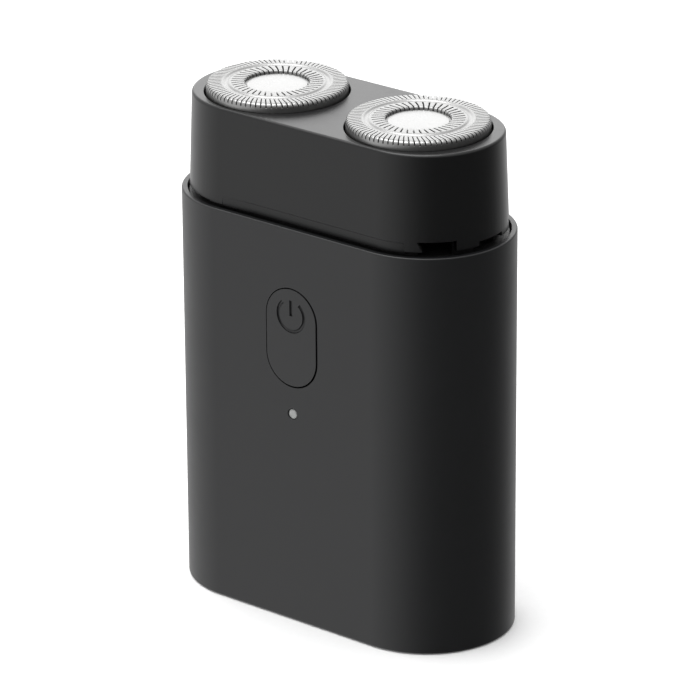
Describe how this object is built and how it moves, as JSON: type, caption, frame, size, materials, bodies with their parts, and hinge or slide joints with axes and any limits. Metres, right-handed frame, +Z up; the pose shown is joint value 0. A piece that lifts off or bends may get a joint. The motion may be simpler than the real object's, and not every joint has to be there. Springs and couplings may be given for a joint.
{
  "type": "electric shaver",
  "caption": "Pocket rotary electric shaver: stadium-shaped case with a flush button and light, and a lift-off head with round slotted guards over spinning cutters.",
  "frame": {"origin": "middle of the flat base that the shaver stands on", "axes": "+X along the width towards the right-hand head, +Y from the button's side to the back, +Z up"},
  "size_m": [0.06, 0.0284, 0.0848],
  "materials": {
    "shell_black": "fine matte, lightly grained moulded black",
    "head_black": "fine matte moulded black, slightly smoother than the shell",
    "inner_black": "plain moulded black",
    "seal_rubber": "soft matte black rubber",
    "gear_plastic": "natural white acetal",
    "guard_steel": "fine ground stainless steel",
    "cap_steel": "bright spun stainless steel",
    "blade_steel": "ground stainless steel",
    "plain_steel": "plated steel",
    "motor_steel": "zinc-plated drawn steel",
    "winding_copper": "enamelled copper wire",
    "magnet_ferrite": "sintered dark grey ferrite",
    "magnet_nickel": "nickel-plated neodymium",
    "board_green": "green solder mask on glass-fibre board",
    "led_lens": "milky clear plastic",
    "cell_wrap": "plain blue heat-shrink sleeve",
    "nickel_strip": "rolled nickel strip",
    "lead_red": "red wire insulation",
    "lead_black": "black wire insulation"
  },
  "bodies": {
    "case": {"body_shell": "shell_black", "base_cover": "shell_black", "base_gasket": "seal_rubber", "chassis": "inner_black", "gearbox_cover": "inner_black", "deck_gasket": "seal_rubber", "motor_can": "motor_steel", "motor_end_cap": "inner_black", "circuit_board": "board_green", "power_switch": "inner_black", "charge_led": "led_lens", "light_guide": "led_lens", "button_seal": "seal_rubber", "usb_port": "plain_steel", "usb_tongue": "inner_black", "battery": "cell_wrap", "motor_magnet_left": "magnet_ferrite", "motor_magnet_right": "magnet_ferrite", "battery_tab_left": "nickel_strip", "battery_tab_right": "nickel_strip", "motor_lead_left": "lead_red", "motor_lead_right": "lead_black", "cover_screw_left": "plain_steel", "cover_screw_right": "plain_steel", "motor_screw_left": "plain_steel", "motor_screw_right": "plain_steel", "board_screw_left": "plain_steel", "board_screw_right": "plain_steel", "gear_pin_left": "plain_steel", "gear_pin_right": "plain_steel", "spindle_seal_left": "seal_rubber", "spindle_seal_right": "seal_rubber", "gearbox_screw_front": "plain_steel", "gearbox_screw_rear": "plain_steel", "body_magnet_front": "magnet_nickel", "body_magnet_rear": "magnet_nickel"},
    "button": {"power_button": "shell_black", "switch_plunger": "gear_plastic"},
    "rotor": {"motor_shaft": "plain_steel", "motor_armature": "winding_copper", "motor_pinion": "gear_plastic"},
    "head": {"head_cap": "head_black", "blade_frame": "inner_black", "head_magnet_front": "magnet_nickel", "head_magnet_rear": "magnet_nickel"},
    "knob": {"frame_knob": "inner_black"},
    "drive_left": {"drive_gear_left": "gear_plastic", "spindle_spring_left": "plain_steel"},
    "shaft_left": {"spindle_left": "gear_plastic"},
    "guard_left": {"guard_left": "guard_steel", "guard_cap_left": "cap_steel"},
    "cutter_left": {"cutter_left": "blade_steel", "cutter_hub_left": "gear_plastic"},
    "drive_right": {"drive_gear_right": "gear_plastic", "spindle_spring_right": "plain_steel"},
    "shaft_right": {"spindle_right": "gear_plastic"},
    "guard_right": {"guard_right": "guard_steel", "guard_cap_right": "cap_steel"},
    "cutter_right": {"cutter_right": "blade_steel", "cutter_hub_right": "gear_plastic"}
  },
  "joints": [
    {"name": "head_lift", "type": "slide", "parent": "case", "child": "head", "axis": [0, 0, 1], "range_m": [0, 0.025]},
    {"name": "power_button_press", "type": "slide", "parent": "case", "child": "button", "axis": [0, 1, 0], "range_m": [0, 0.00025], "stiffness_N_per_m": 1500, "springref_m": -0.0005},
    {"name": "motor_spin", "type": "hinge", "parent": "case", "child": "rotor", "pos_m": [0, 0, 0.045], "axis": [0, 0, 1], "continuous": true},
    {"name": "frame_knob_turn", "type": "hinge", "parent": "head", "child": "knob", "pos_m": [0, 0, 0.0752], "axis": [0, 0, 1], "range_deg": [0, 90]},
    {"name": "drive_gear_left_spin", "type": "hinge", "parent": "case", "child": "drive_left", "pos_m": [-0.0142, 0, 0.0618], "axis": [0, 0, 1], "continuous": true},
    {"name": "spindle_left_float", "type": "slide", "parent": "drive_left", "child": "shaft_left", "axis": [0, 0, 1], "range_m": [-0.0008, 0], "deforming": ["spindle_spring_left"]},
    {"name": "guard_left_float", "type": "slide", "parent": "head", "child": "guard_left", "axis": [0, 0, 1], "range_m": [-0.0008, 0], "stiffness_N_per_m": 500, "springref_m": 0.001},
    {"name": "cutter_left_spin", "type": "hinge", "parent": "guard_left", "child": "cutter_left", "pos_m": [-0.0142, 0, 0.0795], "axis": [0, 0, 1], "continuous": true},
    {"name": "drive_gear_right_spin", "type": "hinge", "parent": "case", "child": "drive_right", "pos_m": [0.0142, 0, 0.0618], "axis": [0, 0, 1], "continuous": true},
    {"name": "spindle_right_float", "type": "slide", "parent": "drive_right", "child": "shaft_right", "axis": [0, 0, 1], "range_m": [-0.0008, 0], "deforming": ["spindle_spring_right"]},
    {"name": "guard_right_float", "type": "slide", "parent": "head", "child": "guard_right", "axis": [0, 0, 1], "range_m": [-0.0008, 0], "stiffness_N_per_m": 500, "springref_m": 0.001},
    {"name": "cutter_right_spin", "type": "hinge", "parent": "guard_right", "child": "cutter_right", "pos_m": [0.0142, 0, 0.0795], "axis": [0, 0, 1], "continuous": true}
  ],
  "couplings": [
    {"joint": "drive_gear_left_spin", "follows": "motor_spin", "ratio": -0.34286},
    {"joint": "cutter_left_spin", "follows": "motor_spin", "ratio": -0.34286},
    {"joint": "spindle_left_float", "follows": "guard_left_float", "ratio": 1},
    {"joint": "drive_gear_right_spin", "follows": "motor_spin", "ratio": -0.34286},
    {"joint": "cutter_right_spin", "follows": "motor_spin", "ratio": -0.34286},
    {"joint": "spindle_right_float", "follows": "guard_right_float", "ratio": 1}
  ]
}
